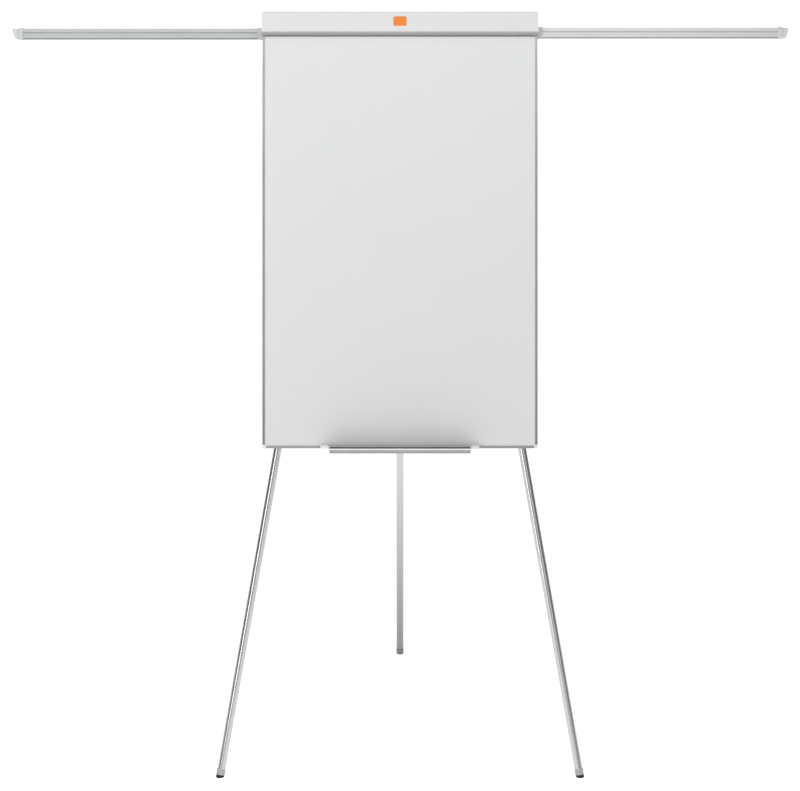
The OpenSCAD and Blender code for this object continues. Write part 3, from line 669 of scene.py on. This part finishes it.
def make_foot(leg):
    """Ribbed rubber foot cut level with the floor."""
    node = f"foot_pad_{leg}"
    axis = LEG_AXIS[leg]
    spots = [vertex.co for vertex in NODES[node].data.vertices]
    ground = [spot for spot in spots if spot.z < ON_FLOOR]
    foot = sum(ground, Vector()) / len(ground)
    top = max(spot.dot(axis) for spot in spots) - foot.dot(axis)
    side = axis.orthogonal().normalized()
    other = axis.cross(side)
    rings = []
    for index, share in enumerate(FOOT_RINGS):
        radius = FOOT_RADIUS - (FOOT_GROOVE if index in NARROW_RINGS else 0.0)
        ring = []
        for step in range(FOOT_SIDES):
            turn = 2 * math.pi * step / FOOT_SIDES
            rim = side * radius * math.cos(turn) + other * radius * math.sin(turn)
            drop = -rim.z / axis.z
            ring.append(foot + rim + axis * (drop * (1 - share) + top * share))
        rings.append(ring)
    make_piece(f"rubber_foot_{leg}", [rings], node, FINISHES["black_rubber"])


make_springs()
for side in ("left", "right"):
    make_arm_cap(side)
for leg in LEGS:
    make_foot(leg)

# ---- Floor, light and camera ----

FLOOR_SIZE = 120.0
WALL_HEIGHT = 20.0
FLOOR_GLOW = 0.62
ROOM_STRENGTH = 0.5
ROOM_SIDE_TONE = 0.4
ROOM_FADE = (0.45, 0.95)
VIEW_DISTANCE = 4.65
AIM_ABOVE_EDGE = 0.129
LENS = 84.7
CLIP_END = 200
BOARD_AIM = (0, 0, 1.2)
LEG_AIM = (0, 0, 0.5)

# Name, place, aim, size in metres and power in watts of each soft box
LIGHTS = (
    ("key", (0.0, -2.3, 3.6), BOARD_AIM, (3.2, 0.5), 24),
    ("strip_left", (-1.6, -2.8, 1.4), LEG_AIM, (0.5, 2.2), 17),
    ("strip_right", (1.3, -3.0, 1.4), LEG_AIM, (0.34, 2.2), 4),
)


def make_floor():
    """Plain pale floor that rises into a wall far behind."""
    mesh = bpy.data.meshes.new("floor")
    half = FLOOR_SIZE / 2
    edges = [(-half, 0), (half, 0), (half, WALL_HEIGHT)]
    mesh.from_pydata(
        [(x, y, z) for y, z in edges for x in (-half, half)],
        [],
        [(0, 1, 3, 2), (2, 3, 5, 4)],
    )
    floor = bpy.data.objects.new("floor", mesh)
    bpy.context.scene.collection.objects.link(floor)
    made, tree, shader, place = start_material(
        "floor",
        Roughness=0.9,
        Specular_IOR_Level=0.1,
        Emission_Color=(1, 1, 1, 1),
        Emission_Strength=FLOOR_GLOW,
    )
    soft = noise(tree, place, 3.0, 2.0)
    tree.links.new(
        tint(tree, soft, (0.93, 0.93, 0.93), (0.95, 0.95, 0.95)), shader.inputs["Base Color"]
    )
    mesh.materials.append(made)


def make_light(name, place, aim, size, power):
    """Rectangular soft box that faces a point."""
    lamp = bpy.data.lights.new(name, "AREA")
    lamp.shape = "RECTANGLE"
    lamp.size, lamp.size_y = size
    lamp.energy = power
    holder = bpy.data.objects.new(name, lamp)
    bpy.context.scene.collection.objects.link(holder)
    holder.location = place
    holder.rotation_euler = (Vector(aim) - Vector(place)).to_track_quat("-Z", "Y").to_euler()


def make_world(strength, side_tone):
    """Even white room whose far left and right are darker, so that round metal shows its shape."""
    world = bpy.data.worlds.new("studio")
    world.use_nodes = True
    tree = world.node_tree
    way = add(tree, "ShaderNodeTexCoord").outputs["Generated"]
    across = add(tree, "ShaderNodeSeparateXYZ", {0: way}).outputs["X"]
    spread = add(tree, "ShaderNodeMath", {0: across}, operation="ABSOLUTE").outputs[0]
    start, end = ROOM_FADE
    fade = add(
        tree, "ShaderNodeMapRange", {"Value": spread, "From Min": start, "From Max": end}
    )
    fade.interpolation_type = "SMOOTHSTEP"
    fade.inputs["To Min"].default_value = 1.0
    fade.inputs["To Max"].default_value = side_tone
    sky = tree.nodes["Background"]
    tree.links.new(fade.outputs["Result"], sky.inputs["Color"])
    sky.inputs["Strength"].default_value = strength
    bpy.context.scene.world = world


def make_camera():
    """Looks square on to the board, from the distance that fits the photograph."""
    aim = board_point(0, FACE_Y, FACE_LOW.z + AIM_ABOVE_EDGE)
    camera = bpy.data.cameras.new("camera")
    camera.lens = LENS
    camera.clip_end = CLIP_END
    holder = bpy.data.objects.new("camera", camera)
    bpy.context.scene.collection.objects.link(holder)
    turn = Matrix((SIDEWAYS, UPWARD, -BACKWARD)).transposed()
    holder.matrix_world = Matrix.Translation(aim - BACKWARD * VIEW_DISTANCE) @ turn.to_4x4()
    bpy.context.scene.camera = holder


make_floor()
make_world(ROOM_STRENGTH, ROOM_SIDE_TONE)
for light in LIGHTS:
    make_light(*light)
make_camera()
bpy.context.scene.view_settings.view_transform = "Standard"
